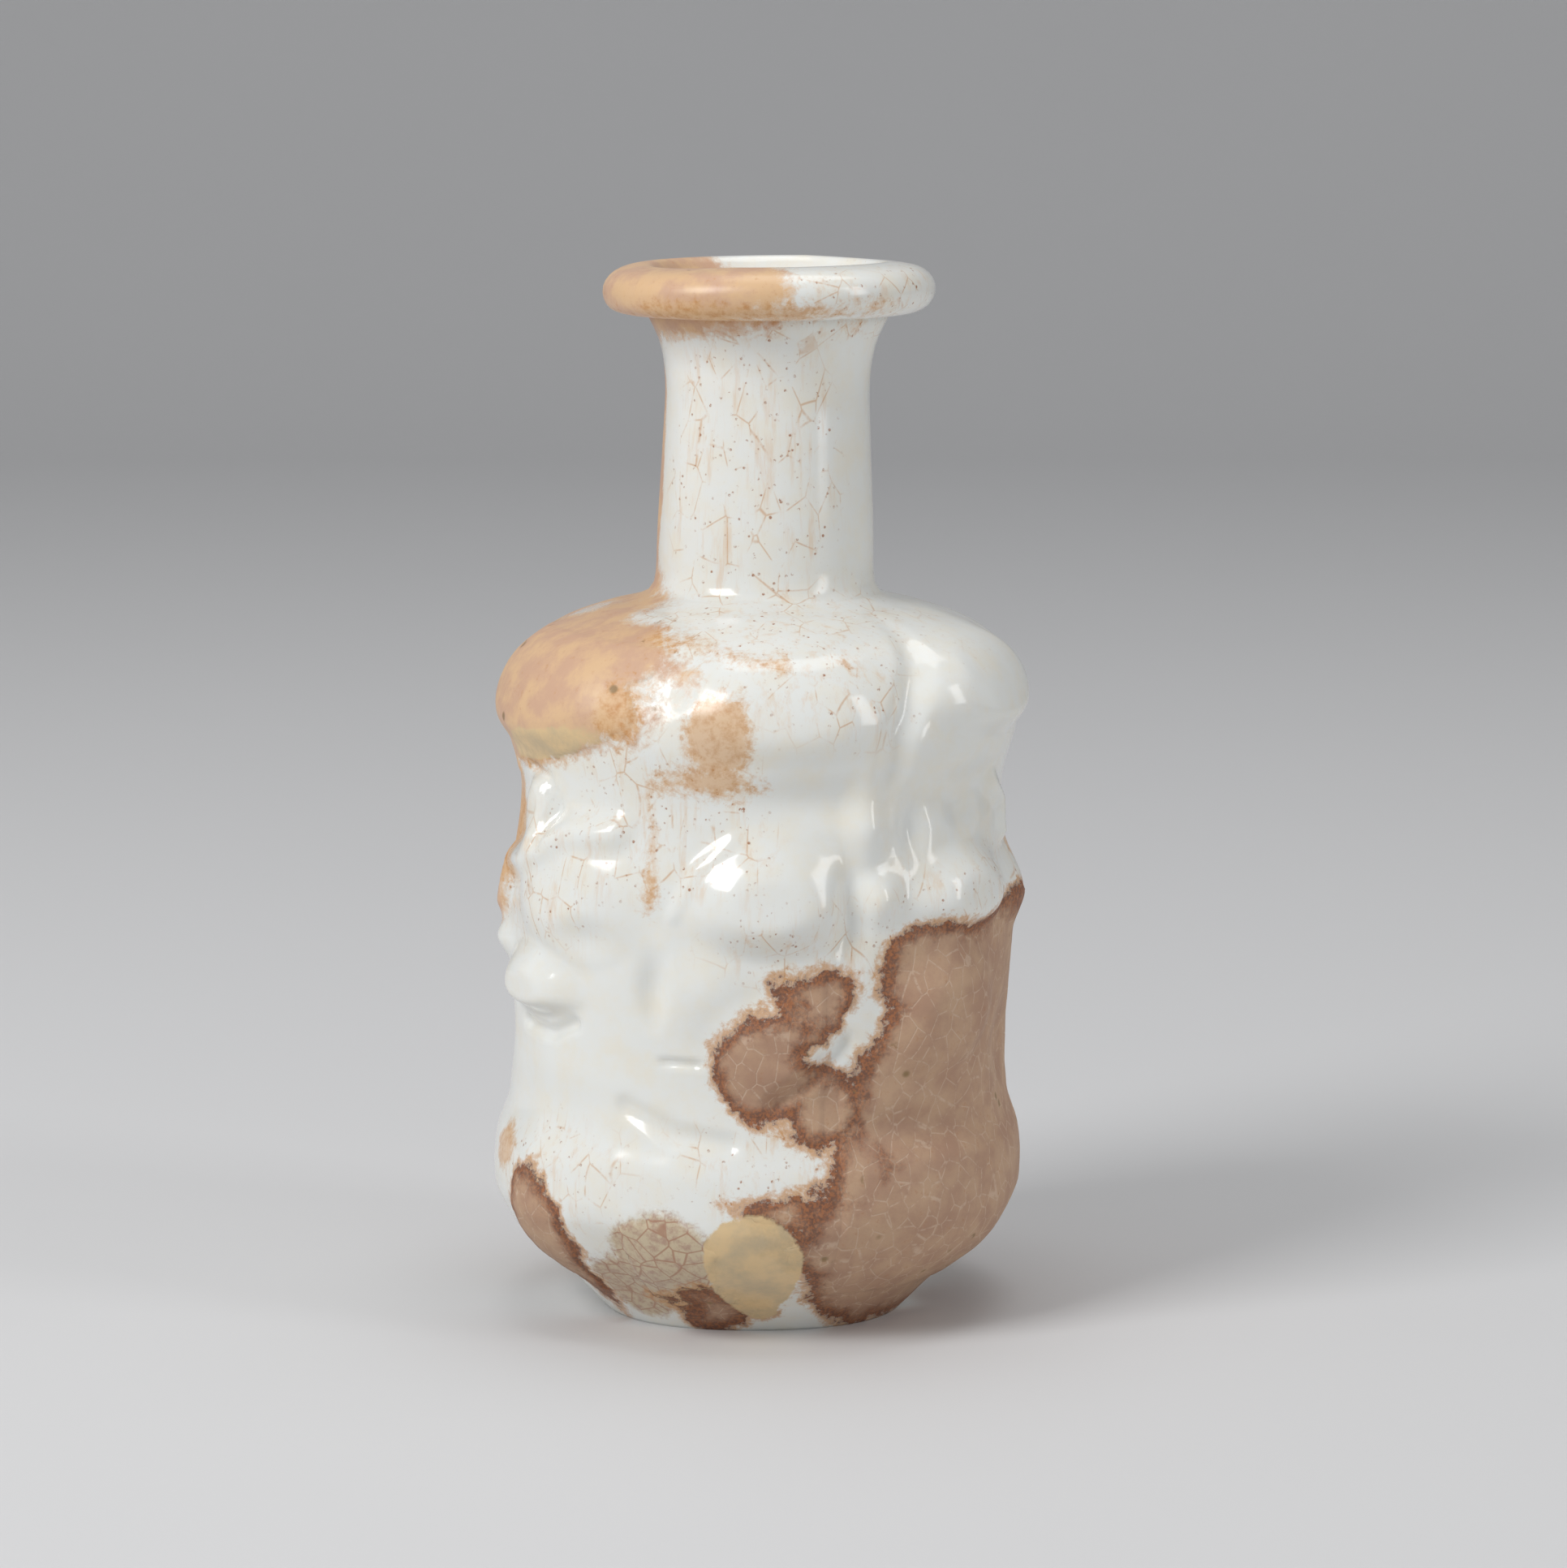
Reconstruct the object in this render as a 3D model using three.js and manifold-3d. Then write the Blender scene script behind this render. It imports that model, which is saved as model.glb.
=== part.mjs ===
// Antique bottle of opaque white glass, blown into a relief mould, with a drawn neck and a folded rim.
// Millimetres, +Z up. The foot stands on z = 0, and the side that carries the clearest relief faces -Y.
// Azimuths are in degrees from that front, positive towards +X.
// Levels are heights on the blown part: -1 at the foot, 0 at the edge of the collar, 1 at the neck's root.

import * as THREE from 'three';
import { mergeVertices } from 'three/addons/utils/BufferGeometryUtils.js';
import Module from 'manifold-3d';

const wasm = await Module();
wasm.setup();

// Heights, from the table up
const BASE_HEIGHT = 13.0;
const BODY_HEIGHT = 53.0;
const NECK_LENGTH = 24.9;
const RIM_HEIGHT = 5.1;

// Radii of the blown part, before its relief
const FOOT_RADIUS = 15.2;
const COLLAR_RADIUS = 24.7;
const WAIST_RADIUS = 23.1;
const BELLY_RADIUS = 23.6;
const BROW_RADIUS = 22.4;
const SHOULDER_RADIUS = 23.5;

// Neck, rim and mouth
const NECK_ROOT_RADIUS = 10.7;
const NECK_RADIUS = 9.3;
const NECK_TOP_RADIUS = 10.9;
const RIM_RADIUS = 15.1;
const MOUTH_RADIUS = 11.0;
const BORE_RADIUS = 7.5;
const RIM_WAVE = 0.22;

// Glass
const BODY_WALL = 2.1;
const FLOOR_THICKNESS = 3.2;
const FOOT_ROUND = 0.9;
const HOLLOW_RADIUS = 9.0;
const HOLLOW_DEPTH = 0.6;
const LEAN = 1.5;

// Where the axis stands at mid-height, so that the part's frame is under the middle of its box
const AXIS_X = 0.28;
const AXIS_Y = -0.00;

// Relief: the depth that the bosses are measured against, the share of it that shows inside the wall,
// and how far the plan is squared towards its four quarters
const RELIEF_DEPTH = 2.2;
const INNER_RELIEF = 0.4;
const SQUARING = 0.35;

// Weathering crust
const CRUST_THICKNESS = 0.35;
const CRUST_CLEARANCE = 0.1;

// Facets round the outside, round the inside, and up the walls
const AROUND = 68;
const AROUND_INSIDE = 34;
const BASE_ROWS = 7;
const BODY_ROWS = 36;
const INSIDE_ROWS = 14;
const NECK_AROUND = 40;
const NECK_ROWS = 9;
const RIM_AROUND = 48;
const RIM_POINTS = 7;

const NECK_ROOT_Z = BASE_HEIGHT + BODY_HEIGHT;
const NECK_TOP_Z = NECK_ROOT_Z + NECK_LENGTH;
const TOTAL_HEIGHT = NECK_TOP_Z + RIM_HEIGHT;

// Bosses of the relief. at: azimuth and level. reach: half-width in degrees and half-height as a level.
// rise: share of the relief depth, negative for a hollow. flat: how much of the boss is a plateau.
// under: how much tighter its lower side is drawn in. turn: degrees that its long side is turned.
const BOSSES = [
  { at: [-64, 0.845], reach: [44, 0.17], rise: 0.62, flat: 0.45, under: 0.62 },
  { at: [6, 0.85], reach: [30, 0.15], rise: 0.42, flat: 0.4, under: 0.75 },
  { at: [66, 0.86], reach: [33, 0.17], rise: 0.78, flat: 0.5, under: 0.55 },
  { at: [-24, 0.9], reach: [14, 0.12], rise: -0.18 },
  { at: [14, 0.69], reach: [34, 0.06], rise: -0.3 },
  { at: [54, 0.69], reach: [24, 0.065], rise: -0.42 },
  { at: [24.5, 0.655], reach: [7, 0.1], rise: 0.5 },
  { at: [36.5, 0.635], reach: [5.5, 0.08], rise: -0.42 },
  { at: [53, 0.645], reach: [9, 0.05], rise: -0.22 },
  { at: [52, 0.515], reach: [19, 0.1], rise: 0.85, flat: 0.35, under: 0.7 },
  { at: [80, 0.5], reach: [16, 0.09], rise: 0.6 },
  { at: [27, 0.525], reach: [7.5, 0.06], rise: 0.5 },
  { at: [2, 0.52], reach: [23, 0.14], rise: 0.95, flat: 0.3, under: 0.72 },
  { at: [20, 0.5], reach: [6, 0.13], rise: -0.5 },
  { at: [-47, 0.53], reach: [27, 0.15], rise: 0.72, flat: 0.3 },
  { at: [-40, 0.455], reach: [10, 0.05], rise: -0.28 },
  { at: [-59, 0.655], reach: [9, 0.085], rise: 0.62, flat: 0.3, turn: -14 },
  { at: [-79, 0.41], reach: [10, 0.05], rise: 0.5 },
  { at: [-58, 0.345], reach: [19, 0.09], rise: 0.85, flat: 0.35, under: 0.5 },
  { at: [-23.5, 0.375], reach: [5.5, 0.09], rise: -0.32 },
  { at: [-11, 0.375], reach: [13, 0.1], rise: 0.34 },
  { at: [5, 0.275], reach: [19, 0.11], rise: 0.52, flat: 0.3 },
  { at: [46, 0.305], reach: [20, 0.15], rise: 0.68, flat: 0.4, under: 0.7, turn: 18 },
  { at: [76, 0.23], reach: [14, 0.12], rise: -0.4 },
  { at: [40, 0.13], reach: [26, 0.06], rise: -0.42 },
  { at: [-50, 0.14], reach: [30, 0.09], rise: -0.22 },
  { at: [-90, 0.27], reach: [16, 0.12], rise: -0.3 },
  { at: [118, 0.85], reach: [30, 0.16], rise: 0.6, flat: 0.45, under: 0.6 },
  { at: [178, 0.85], reach: [31, 0.15], rise: 0.5, flat: 0.4, under: 0.7 },
  { at: [-122, 0.855], reach: [28, 0.16], rise: 0.6, flat: 0.45, under: 0.6 },
  { at: [150, 0.69], reach: [34, 0.06], rise: -0.36 },
  { at: [-150, 0.69], reach: [32, 0.06], rise: -0.36 },
  { at: [178, 0.64], reach: [8, 0.11], rise: 0.5 },
  { at: [128, 0.65], reach: [9, 0.075], rise: 0.5, flat: 0.3, turn: 12 },
  { at: [-132, 0.65], reach: [9, 0.075], rise: 0.5, flat: 0.3, turn: -12 },
  { at: [180, 0.51], reach: [20, 0.13], rise: 0.95, flat: 0.3, under: 0.72 },
  { at: [132, 0.52], reach: [24, 0.14], rise: 0.72, flat: 0.3 },
  { at: [-131, 0.52], reach: [24, 0.14], rise: 0.72, flat: 0.3 },
  { at: [156, 0.44], reach: [7, 0.1], rise: -0.35 },
  { at: [-155, 0.44], reach: [7, 0.1], rise: -0.35 },
  { at: [178, 0.33], reach: [26, 0.07], rise: 0.5, flat: 0.3, under: 0.6 },
  { at: [120, 0.33], reach: [17, 0.09], rise: 0.6, flat: 0.35, under: 0.55 },
  { at: [-118, 0.33], reach: [17, 0.09], rise: 0.6, flat: 0.35, under: 0.55 },
  { at: [178, 0.2], reach: [20, 0.08], rise: 0.3 },
  { at: [-56, -0.25], reach: [14, 0.6], rise: 0.24 },
  { at: [-35, -0.4], reach: [13, 0.5], rise: -0.34 },
  { at: [-12, -0.45], reach: [18, 0.5], rise: 0.2 },
  { at: [30, -0.3], reach: [14, 0.45], rise: -0.16 },
  { at: [64, -0.35], reach: [18, 0.5], rise: 0.2 },
  { at: [110, -0.4], reach: [16, 0.5], rise: -0.24 },
  { at: [150, -0.4], reach: [18, 0.5], rise: 0.22 },
  { at: [-150, -0.4], reach: [18, 0.5], rise: -0.24 },
  { at: [-105, -0.4], reach: [18, 0.5], rise: 0.2 },
];

// Folds and creases of the relief. along: azimuths and levels. half: half-width as a level. rise: as above.
const FOLDS = [
  { along: [[43, 0.97], [39, 0.9], [31, 0.8], [30, 0.74]], half: 0.045, rise: -0.36 },
  { along: [[-34, 0.635], [-46, 0.63], [-60, 0.575], [-76, 0.55], [-82, 0.47]], half: 0.045, rise: 0.5 },
  { along: [[-30, 0.17], [-18, 0.13], [-6, 0.115]], half: 0.03, rise: -0.2 },
  { along: [[19, 0.285], [12, 0.235], [4, 0.185]], half: 0.03, rise: -0.4 },
  { along: [[68, 0.69], [76, 0.65], [74, 0.6]], half: 0.03, rise: 0.35 },
  { along: [[148, 0.96], [146, 0.88], [150, 0.78]], half: 0.045, rise: -0.36 },
  { along: [[-148, 0.96], [-146, 0.88], [-150, 0.78]], half: 0.045, rise: -0.36 },
  { along: [[112, 0.6], [130, 0.58], [148, 0.63]], half: 0.045, rise: 0.4 },
  { along: [[-112, 0.6], [-130, 0.58], [-148, 0.63]], half: 0.045, rise: 0.4 },
];

// Crust plates. face: the azimuth that the plate faces. outline: its edge as seen from there, in shares
// of the collar's radius sideways and of the body's height upwards from the table.
const CRUSTS = {
  crust_shoulder_left: {
    face: -52,
    outline: [
      [-0.5, 1.02], [-0.1, 1.17], [0.28, 1.19], [0.34, 1.08],
      [0.22, 0.98], [-0.05, 0.93], [-0.45, 0.95],
    ],
  },
  crust_lower_right: {
    face: 62,
    outline: [
      [-0.54, 0.58], [-0.4, 0.66], [-0.05, 0.69], [0.4, 0.72], [0.6, 0.58], [0.58, 0.3], [0.42, 0.12],
      [0.05, 0.08], [-0.34, 0.09], [-0.52, 0.14], [-0.56, 0.3], [-0.5, 0.42],
    ],
  },
  crust_middle: {
    face: 4,
    outline: [[-0.2, 0.52], [0.02, 0.58], [0.2, 0.5], [0.14, 0.4], [-0.04, 0.36], [-0.2, 0.42]],
  },
  crust_base_left: {
    face: -50,
    outline: [
      [-0.3, 0.26], [-0.1, 0.24], [0.06, 0.14], [0.12, 0.08],
      [-0.16, 0.07], [-0.3, 0.11], [-0.4, 0.2],
    ],
  },
  crust_base_front: {
    face: -9,
    outline: [[-0.2, 0.2], [-0.02, 0.25], [0.1, 0.22], [0.08, 0.11], [-0.06, 0.08], [-0.18, 0.1]],
  },
};

const MATERIALS = {
  glass: { color: 0xe6e6df, roughness: 0.14, metalness: 0 },
  rim: { color: 0xe2cfae, roughness: 0.2, metalness: 0 },
  crust: { color: 0xb08462, roughness: 0.62, metalness: 0 },
};

const radians = THREE.MathUtils.degToRad;
const smoothstep = THREE.MathUtils.smoothstep;
const lerp = THREE.MathUtils.lerp;

function turned(azimuth) {
  return THREE.MathUtils.euclideanModulo(azimuth + 180, 360) - 180;
}

function leanAt(z) {
  return AXIS_X + LEAN * (z / TOTAL_HEIGHT - 0.5);
}

// The height above the table that belongs to a level, and the level of a height
function levelOf(z) {
  return z < BASE_HEIGHT ? z / BASE_HEIGHT - 1 : (z - BASE_HEIGHT) / BODY_HEIGHT;
}

// A degree round the body, measured as a level, so that folds keep their width in both directions
const DEGREE = radians(1) * COLLAR_RADIUS / BODY_HEIGHT;

function bossHeight(boss, azimuth, level) {
  const turn = radians(boss.turn ?? 0);
  const [width, height] = boss.reach;
  const across = turned(azimuth - boss.at[0]) * DEGREE;
  const up = level - boss.at[1];
  const x = (across * Math.cos(turn) + up * Math.sin(turn)) / (width * DEGREE);
  const y = (up * Math.cos(turn) - across * Math.sin(turn)) / height;
  const lower = y < 0 ? 1 / (boss.under ?? 1) : 1;
  const distance = Math.hypot(x, y * lower);
  return boss.rise * (1 - smoothstep(distance, (boss.flat ?? 0) * 0.9, 1));
}

function foldHeight(fold, azimuth, level) {
  let nearest = Infinity;
  for (let i = 1; i < fold.along.length; i += 1) {
    const [a0, l0] = fold.along[i - 1];
    const [a1, l1] = fold.along[i];
    const run = new THREE.Vector2((a1 - a0) * DEGREE, l1 - l0);
    const from = new THREE.Vector2(turned(azimuth - a0) * DEGREE, level - l0);
    const share = THREE.MathUtils.clamp(from.dot(run) / run.lengthSq(), 0, 1);
    nearest = Math.min(nearest, from.addScaledVector(run, -share).length());
  }
  return fold.rise * (1 - smoothstep(nearest, 0, fold.half));
}

// How far the mould pushes the wall out at an azimuth and level. It dies away at the neck's root.
function relief(azimuth, level) {
  let height = 0;
  for (const boss of BOSSES) {
    height += bossHeight(boss, azimuth, level);
  }
  for (const fold of FOLDS) {
    height += foldHeight(fold, azimuth, level);
  }
  const squared = -SQUARING * Math.cos(radians(4 * azimuth)) * (1 - smoothstep(level, 0.6, 0.95));
  return (height * RELIEF_DEPTH + squared) * (1 - smoothstep(level, 0.86, 0.995));
}

// Outlines of the blown part, from the foot to the collar and from the collar to the neck's root
const BASE_OUTLINE = new THREE.SplineCurve([
  [FOOT_RADIUS - FOOT_ROUND, 0],
  [FOOT_RADIUS, FOOT_ROUND],
  [lerp(FOOT_RADIUS, COLLAR_RADIUS, 0.3), BASE_HEIGHT * 0.29],
  [lerp(FOOT_RADIUS, COLLAR_RADIUS, 0.72), BASE_HEIGHT * 0.55],
  [lerp(FOOT_RADIUS, COLLAR_RADIUS, 0.96), BASE_HEIGHT * 0.83],
  [COLLAR_RADIUS, BASE_HEIGHT],
].map(([r, z]) => new THREE.Vector2(r, z)));

const BODY_OUTLINE = new THREE.SplineCurve([
  [COLLAR_RADIUS, 0],
  [COLLAR_RADIUS - 0.25, 0.06],
  [lerp(WAIST_RADIUS, COLLAR_RADIUS, 0.15), 0.13],
  [WAIST_RADIUS, 0.24],
  [BELLY_RADIUS, 0.46],
  [BROW_RADIUS, 0.66],
  [SHOULDER_RADIUS, 0.79],
  [lerp(NECK_ROOT_RADIUS, SHOULDER_RADIUS, 0.87), 0.885],
  [lerp(NECK_ROOT_RADIUS, SHOULDER_RADIUS, 0.67), 0.94],
  [lerp(NECK_ROOT_RADIUS, SHOULDER_RADIUS, 0.36), 0.973],
  [lerp(NECK_ROOT_RADIUS, SHOULDER_RADIUS, 0.12), 0.988],
  [NECK_ROOT_RADIUS, 1],
].map(([r, share]) => new THREE.Vector2(r, BASE_HEIGHT + BODY_HEIGHT * share)));

// A point of a wall: inset steps in from the outline, and share tells how much of the relief it follows.
// Below the shoulder the mould moves the wall sideways, and on the shoulder square to the wall.
function wallPoint(outline, along, azimuth, inset, share) {
  const at = outline.getPointAt(along);
  const tangent = outline.getTangentAt(along);
  const level = levelOf(at.y);
  const slope = smoothstep(level, 0.78, 0.9);
  const out = new THREE.Vector2(lerp(1, tangent.y, slope), lerp(0, -tangent.x, slope)).normalize();
  const push = relief(azimuth, level) * share;
  const r = at.x - inset * tangent.y + push * out.x;
  const z = at.y + inset * tangent.x + push * out.y;
  const angle = radians(azimuth);
  return new THREE.Vector3(r * Math.sin(angle) + leanAt(z), AXIS_Y - r * Math.cos(angle), z);
}

function onAxis(z) {
  return new THREE.Vector3(leanAt(z), AXIS_Y, z);
}

function ringOf(count, pointAt) {
  return Array.from({ length: count }, (unused, i) => pointAt(i * 360 / count));
}

function circle(count, radius, z) {
  const centre = leanAt(z);
  return ringOf(count, (azimuth) => {
    const angle = radians(azimuth);
    return new THREE.Vector3(radius * Math.sin(angle) + centre, AXIS_Y - radius * Math.cos(angle), z);
  });
}

// Joins rings of any number of points into one closed skin. A ring of one point closes an end. Where
// both ends are open, the last ring meets the first.
function skin(rings) {
  const positions = [];
  const starts = [];
  for (const ring of rings) {
    starts.push(positions.length / 3);
    ring.forEach((point) => positions.push(point.x, point.y, point.z));
  }
  const triangles = [];
  const pairs = rings[0].length === 1 ? rings.length - 1 : rings.length;
  for (let k = 0; k < pairs; k += 1) {
    const next = (k + 1) % rings.length;
    const lowCount = rings[k].length;
    const highCount = rings[next].length;
    let low = 0;
    let high = 0;
    while (low < lowCount || high < highCount) {
      const lowEnd = lowCount === 1 ? Infinity : (low + 1) / lowCount;
      const highEnd = highCount === 1 ? Infinity : (high + 1) / highCount;
      if (Math.min(lowEnd, highEnd) > 1 + 1e-9) {
        break;
      }
      const a = starts[k] + low % lowCount;
      const b = starts[next] + high % highCount;
      if (lowEnd <= highEnd) {
        triangles.push(a, starts[k] + (low + 1) % lowCount, b);
        low += 1;
      } else {
        triangles.push(a, starts[next] + (high + 1) % highCount, b);
        high += 1;
      }
    }
  }
  const geometry = new THREE.BufferGeometry();
  geometry.setAttribute('position', new THREE.Float32BufferAttribute(positions, 3));
  geometry.setIndex(triangles);
  return geometry;
}

function steps(count, from = 0, to = 1) {
  return Array.from({ length: count + 1 }, (unused, i) => lerp(from, to, i / count));
}

function outsideRing(outline, along, inset = 0) {
  return ringOf(AROUND, (azimuth) => wallPoint(outline, along, azimuth, inset, 1));
}

function insideRing(outline, along) {
  return ringOf(AROUND_INSIDE, (azimuth) => wallPoint(outline, along, azimuth, BODY_WALL, INNER_RELIEF));
}

function flattened(ring, z) {
  return ring.map((point) => new THREE.Vector3(point.x, point.y, z));
}

// The blown wall: relief outside, softer relief inside, open at the collar's edge and at the neck.
function bodyWall() {
  const outside = steps(BODY_ROWS).map((along) => outsideRing(BODY_OUTLINE, along));
  outside[0] = flattened(outside[0], BASE_HEIGHT);
  outside[BODY_ROWS] = circle(AROUND, NECK_ROOT_RADIUS, NECK_ROOT_Z);
  const inside = steps(INSIDE_ROWS, 0.95, 0).map((along) => insideRing(BODY_OUTLINE, along));
  inside[INSIDE_ROWS] = flattened(inside[INSIDE_ROWS], BASE_HEIGHT);
  const throat = circle(AROUND_INSIDE, BORE_RADIUS, NECK_ROOT_Z);
  return skin([...outside, throat, ...inside]);
}

// The tapered base below the collar, with its floor and the shallow hollow under the foot.
function baseCup() {
  const outside = steps(BASE_ROWS).map((along) => outsideRing(BASE_OUTLINE, along));
  outside[0] = flattened(outside[0], 0);
  outside[BASE_ROWS] = flattened(outsideRing(BODY_OUTLINE, 0), BASE_HEIGHT);
  const rimInside = flattened(insideRing(BODY_OUTLINE, 0), BASE_HEIGHT);
  const inside = [0.8, 0.58].map((along) => insideRing(BASE_OUTLINE, along));
  const floorRadius = FOOT_RADIUS - BODY_WALL;
  const floor = [
    circle(AROUND_INSIDE, floorRadius, FLOOR_THICKNESS + FOOT_ROUND / 2),
    circle(AROUND_INSIDE, floorRadius * 0.8, FLOOR_THICKNESS),
    [onAxis(FLOOR_THICKNESS)],
  ];
  const hollow = [
    [onAxis(HOLLOW_DEPTH)],
    circle(AROUND_INSIDE, HOLLOW_RADIUS * 0.6, HOLLOW_DEPTH * 0.75),
    circle(AROUND_INSIDE, HOLLOW_RADIUS, 0),
  ];
  return skin([...hollow, ...outside, rimInside, ...inside, ...floor]);
}

// The drawn neck: a straight tube, a little narrower in its upper half, that flares under the rim.
function neckTube() {
  const outline = new THREE.SplineCurve([
    [NECK_ROOT_RADIUS, 0],
    [lerp(NECK_RADIUS, NECK_ROOT_RADIUS, 0.5), 0.05],
    [lerp(NECK_RADIUS, NECK_ROOT_RADIUS, 0.38), 0.25],
    [lerp(NECK_RADIUS, NECK_ROOT_RADIUS, 0.12), 0.55],
    [NECK_RADIUS, 0.76],
    [lerp(NECK_RADIUS, NECK_TOP_RADIUS, 0.3), 0.9],
    [NECK_TOP_RADIUS, 1],
  ].map(([r, share]) => new THREE.Vector2(r, NECK_ROOT_Z + NECK_LENGTH * share)));
  const outside = steps(NECK_ROWS).map((along) => outline.getPointAt(along));
  const rings = outside.map((at) => circle(NECK_AROUND, at.x, at.y));
  rings[0] = circle(NECK_AROUND, NECK_ROOT_RADIUS, NECK_ROOT_Z);
  rings[NECK_ROWS] = circle(NECK_AROUND, NECK_TOP_RADIUS, NECK_TOP_Z);
  const bore = steps(3, NECK_TOP_Z, NECK_ROOT_Z).map((z) => circle(NECK_AROUND, BORE_RADIUS, z));
  return skin([...rings, ...bore]);
}

// The rim, folded out, over and in: a round roll outside, a sloped lip inside that leads to the bore.
function rimCollar() {
  const rollHeight = RIM_HEIGHT * 0.5;
  const rollZ = NECK_TOP_Z + RIM_HEIGHT * 0.53;
  const rollReach = (RIM_RADIUS - MOUTH_RADIUS) * 0.66;
  const rollCentre = RIM_RADIUS - rollReach;
  const section = [new THREE.Vector2(NECK_TOP_RADIUS, NECK_TOP_Z)];
  for (const turn of steps(RIM_POINTS, -125, 75)) {
    const x = rollCentre + rollReach * Math.cos(radians(turn));
    const y = rollZ + rollHeight * Math.sin(radians(turn)) * (turn < 0 ? 0.92 : 0.86);
    section.push(new THREE.Vector2(x, y));
  }
  section.push(new THREE.Vector2(MOUTH_RADIUS, NECK_TOP_Z + RIM_HEIGHT));
  section.push(new THREE.Vector2(MOUTH_RADIUS - 0.7, NECK_TOP_Z + RIM_HEIGHT * 0.9));
  section.push(new THREE.Vector2(lerp(BORE_RADIUS, MOUTH_RADIUS, 0.35), NECK_TOP_Z + RIM_HEIGHT * 0.45));
  section.push(new THREE.Vector2(BORE_RADIUS, NECK_TOP_Z));
  const rings = section.map((at) => circle(RIM_AROUND, at.x, at.y));
  for (const ring of rings) {
    ring.forEach((point, i) => {
      const azimuth = radians(i * 360 / RIM_AROUND);
      const free = smoothstep(point.z, NECK_TOP_Z, NECK_TOP_Z + RIM_HEIGHT * 0.3);
      const wave = RIM_WAVE * free * Math.sin(2 * azimuth + 0.6);
      point.z += Math.min(0, wave) - RIM_WAVE * free * 0.5 * (1 - Math.sin(azimuth));
    });
  }
  return skin(rings);
}

function solidOf(geometry) {
  const bare = geometry.clone();
  bare.deleteAttribute('normal');
  bare.deleteAttribute('uv');
  const merged = mergeVertices(bare, 1e-5);
  const vertProperties = new Float32Array(merged.attributes.position.array);
  const triVerts = new Uint32Array(merged.index.array);
  return new wasm.Manifold(new wasm.Mesh({ numProp: 3, vertProperties, triVerts }));
}

function geometryOf(solid) {
  const mesh = solid.getMesh();
  const geometry = new THREE.BufferGeometry();
  geometry.setAttribute('position', new THREE.Float32BufferAttribute(mesh.vertProperties, 3));
  geometry.setIndex(Array.from(mesh.triVerts));
  return geometry;
}

// The crust as one thin shell over the whole blown part, the same distance from the glass everywhere.
function crustShell() {
  const outer = CRUST_CLEARANCE + CRUST_THICKNESS;
  const stations = [
    ...steps(BASE_ROWS).slice(1, -1).map((along) => [BASE_OUTLINE, along]),
    ...steps(BODY_ROWS).slice(0, -4).map((along) => [BODY_OUTLINE, along]),
  ];
  const glass = stations.map(([outline, along]) => outsideRing(outline, along));
  const lifted = (distance) => glass.map((ring, row) => ring.map((point, i) => {
    const above = glass[Math.min(row + 1, glass.length - 1)][i];
    const below = glass[Math.max(row - 1, 0)][i];
    const right = ring[(i + 1) % AROUND];
    const left = ring[(i + AROUND - 1) % AROUND];
    const up = above.clone().sub(below);
    const across = right.clone().sub(left);
    return point.clone().addScaledVector(across.cross(up).normalize(), distance);
  }));
  const filled = (rings) => solidOf(skin([
    [onAxis(rings[0][0].z)],
    ...rings,
    [onAxis(rings.at(-1)[0].z)],
  ]));
  return filled(lifted(outer)).subtract(filled(lifted(CRUST_CLEARANCE)));
}

// One plate of crust: the shell inside an outline that looks at the bottle from one side.
function crustPlate(shell, { face, outline }) {
  const edge = new THREE.SplineCurve([...outline, outline[0]].map(([across, up]) => (
    new THREE.Vector2(across * COLLAR_RADIUS, up * BODY_HEIGHT))));
  const shape = new THREE.Shape(edge.getPoints(outline.length * 3).slice(0, -1));
  const stamp = new THREE.ExtrudeGeometry(shape, { depth: COLLAR_RADIUS * 2, bevelEnabled: false });
  stamp.rotateX(Math.PI / 2);
  stamp.rotateZ(radians(face));
  return geometryOf(shell.intersect(solidOf(stamp)));
}

function namedMesh(name, geometry, finish) {
  const mesh = new THREE.Mesh(geometry, new THREE.MeshStandardMaterial(finish));
  mesh.name = name;
  return mesh;
}

const bottle = new THREE.Group();
bottle.add(namedMesh('base_cup', baseCup(), MATERIALS.glass));
bottle.add(namedMesh('body_wall', bodyWall(), MATERIALS.glass));
bottle.add(namedMesh('neck_tube', neckTube(), MATERIALS.glass));
bottle.add(namedMesh('rim_collar', rimCollar(), MATERIALS.rim));

const shell = crustShell();
for (const [name, plate] of Object.entries(CRUSTS)) {
  bottle.add(namedMesh(name, crustPlate(shell, plate), MATERIALS.crust));
}

export default bottle;
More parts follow.
